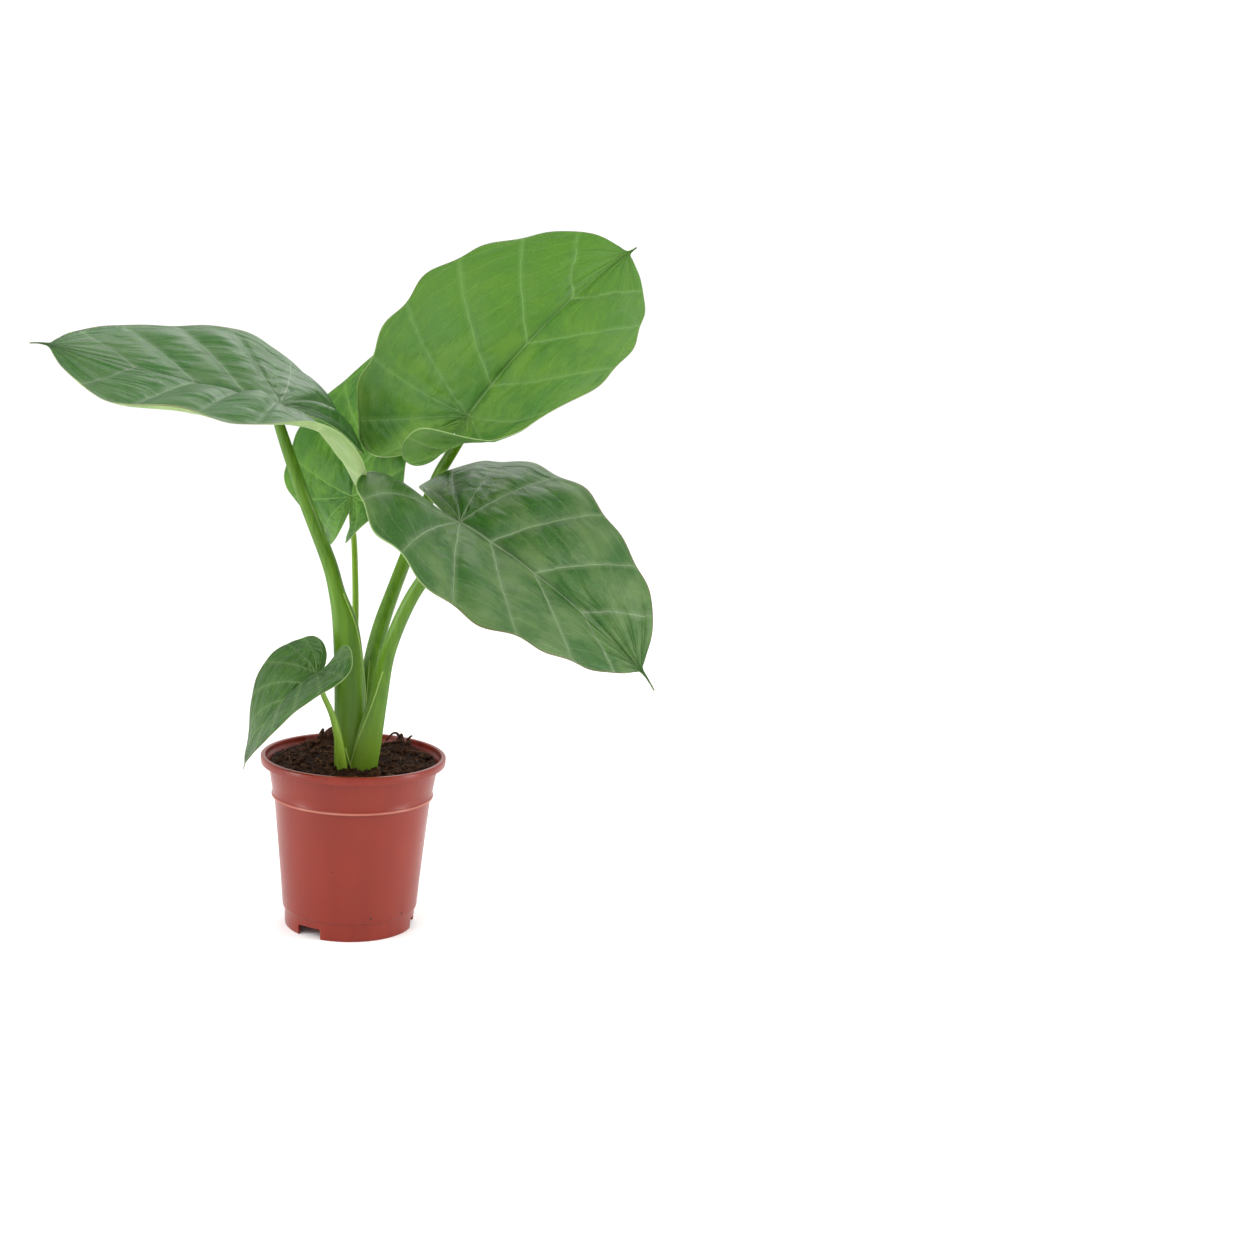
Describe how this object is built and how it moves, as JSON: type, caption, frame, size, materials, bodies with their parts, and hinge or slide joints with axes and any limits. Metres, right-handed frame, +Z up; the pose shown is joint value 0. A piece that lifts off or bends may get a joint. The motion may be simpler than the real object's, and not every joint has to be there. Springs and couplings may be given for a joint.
{
  "type": "potted plant",
  "caption": "Potted giant taro: heart-shaped, drip-tipped blades on upright sheathing stalks, growing from a corm in a soil-filled round nursery pot.",
  "frame": {"origin": "on the pot's axis, on the ground; the middle of the overall box lies over it within a few millimetres", "axes": "+Z up along the pot's axis, +X to the plant's right as seen from its front, -Y towards the viewer in front of it"},
  "size_m": [0.3843, 0.2404, 0.4504],
  "materials": {
    "pot": "terracotta-red moulded plastic, satin",
    "soil": "loose dark peat, matt",
    "corm": "fibrous brown skin, matt",
    "stalk": "smooth fresh green, semi-gloss",
    "leaf": "green with paler veins, satin"
  },
  "bodies": {
    "root": {"pot": "pot", "soil": "soil", "corm": "corm", "stalk_left": "stalk", "stalk_top": "stalk", "stalk_right": "stalk", "stalk_back": "stalk", "stalk_small": "stalk", "blade_left": "leaf", "blade_top": "leaf", "blade_right": "leaf", "blade_back": "leaf", "blade_small": "leaf"}
  },
  "joints": []
}
